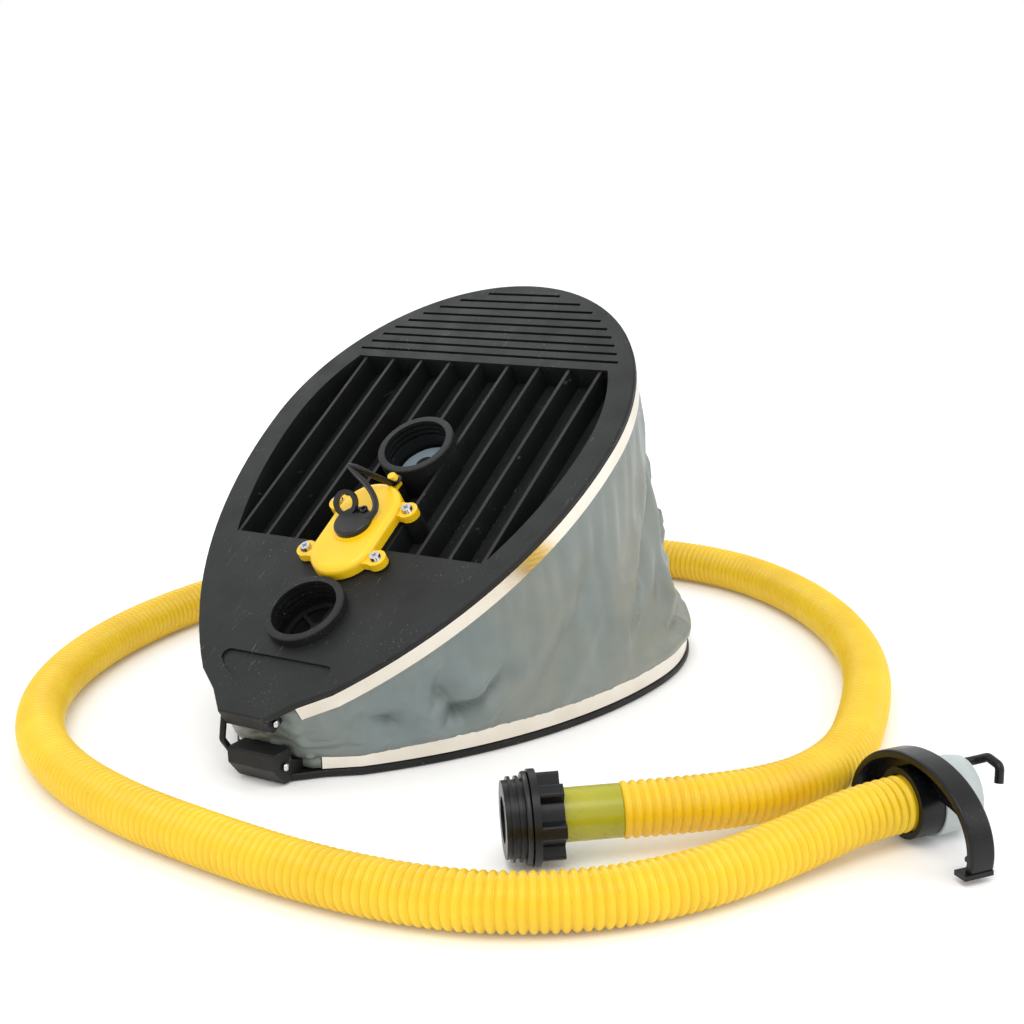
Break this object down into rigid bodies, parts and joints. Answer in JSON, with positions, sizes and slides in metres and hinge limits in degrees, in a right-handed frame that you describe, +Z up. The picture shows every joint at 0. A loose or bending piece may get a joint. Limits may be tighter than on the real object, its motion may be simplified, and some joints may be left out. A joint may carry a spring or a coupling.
{
  "type": "foot air pump",
  "caption": "Wedge-shaped foot bellows pump with hinged foot plate, screw ports, relief plug and a loose corrugated hose with screw connector and valve adapter.",
  "frame": {"origin": "middle of the pump's footprint on the floor, under the base plate", "axes": "+X from the hinge to the toe, +Y to the left side, +Z up"},
  "size_m": [0.4717, 0.5232, 0.1953],
  "materials": {
    "black_moulding": "moulded polypropylene, faintly textured, dusty satin",
    "black_gloss_moulding": "smooth moulded nylon, soft gloss",
    "polished_steel": "polished stainless strip",
    "spring_steel": "drawn spring wire",
    "black_steel": "blackened steel wire, bright cut ends",
    "chrome_screw": "bright plated cross-head screw",
    "grey_vinyl": "heavy grey vinyl sheet, semi-gloss",
    "flap_rubber": "smooth blue-grey valve rubber",
    "black_rubber": "soft black rubber, slight sheen",
    "yellow_moulding": "glossy yellow moulding",
    "yellow_hose": "corrugated yellow polyethylene, satin",
    "cuff_vinyl": "smooth greenish-yellow soft vinyl",
    "grey_moulding": "light grey moulding"
  },
  "bodies": {
    "base": {"base_plate": "black_moulding", "lower_hinge_block": "black_moulding", "lower_band": "polished_steel", "bellows": "grey_vinyl", "return_spring": "spring_steel", "hose": "yellow_hose", "hose_cuff": "cuff_vinyl", "adapter_grip": "black_gloss_moulding", "adapter_nozzle": "grey_moulding", "adapter_hook": "black_gloss_moulding"},
    "foot_plate": {"foot_plate": "black_moulding", "upper_hinge_block": "black_moulding", "hinge_wire": "black_steel", "upper_band": "polished_steel", "intake_rivet": "black_moulding", "outlet_rivet": "black_moulding", "valve_cover": "yellow_moulding", "cover_gasket": "black_rubber", "cover_screws": "chrome_screw", "plug_tether": "black_rubber"},
    "intake_flap": {"intake_flap": "flap_rubber"},
    "outlet_flap": {"outlet_flap": "flap_rubber"},
    "relief_plug": {"relief_plug": "black_rubber"},
    "connector": {"screw_connector": "black_gloss_moulding", "connector_seal": "black_rubber"}
  },
  "joints": [
    {"name": "foot_plate_hinge", "type": "hinge", "parent": "base", "child": "foot_plate", "pos_m": [-0.1463, 0, 0.009], "axis": [0, 1, 0], "range_deg": [0, 30], "stiffness_Nm_per_rad": 6, "springref_deg": -22.92, "deforming": ["bellows", "return_spring"]},
    {"name": "intake_flap_lift", "type": "slide", "parent": "foot_plate", "child": "intake_flap", "axis": [0.5344, 0, -0.8453], "range_m": [0, 0.0025], "stiffness_N_per_m": 30, "springref_m": -0.001},
    {"name": "outlet_flap_lift", "type": "slide", "parent": "foot_plate", "child": "outlet_flap", "axis": [-0.5344, 0, 0.8453], "range_m": [0, 0.0025], "stiffness_N_per_m": 30, "springref_m": -0.001},
    {"name": "relief_plug_pull", "type": "slide", "parent": "foot_plate", "child": "relief_plug", "axis": [-0.5344, 0, 0.8453], "range_m": [0, 0.012], "deforming": ["plug_tether"]},
    {"name": "connector_spin", "type": "hinge", "parent": "base", "child": "connector", "pos_m": [-0.15217, -0.1626, 0.0193], "axis": [-0.6328, 0.7743, 0], "continuous": true}
  ]
}
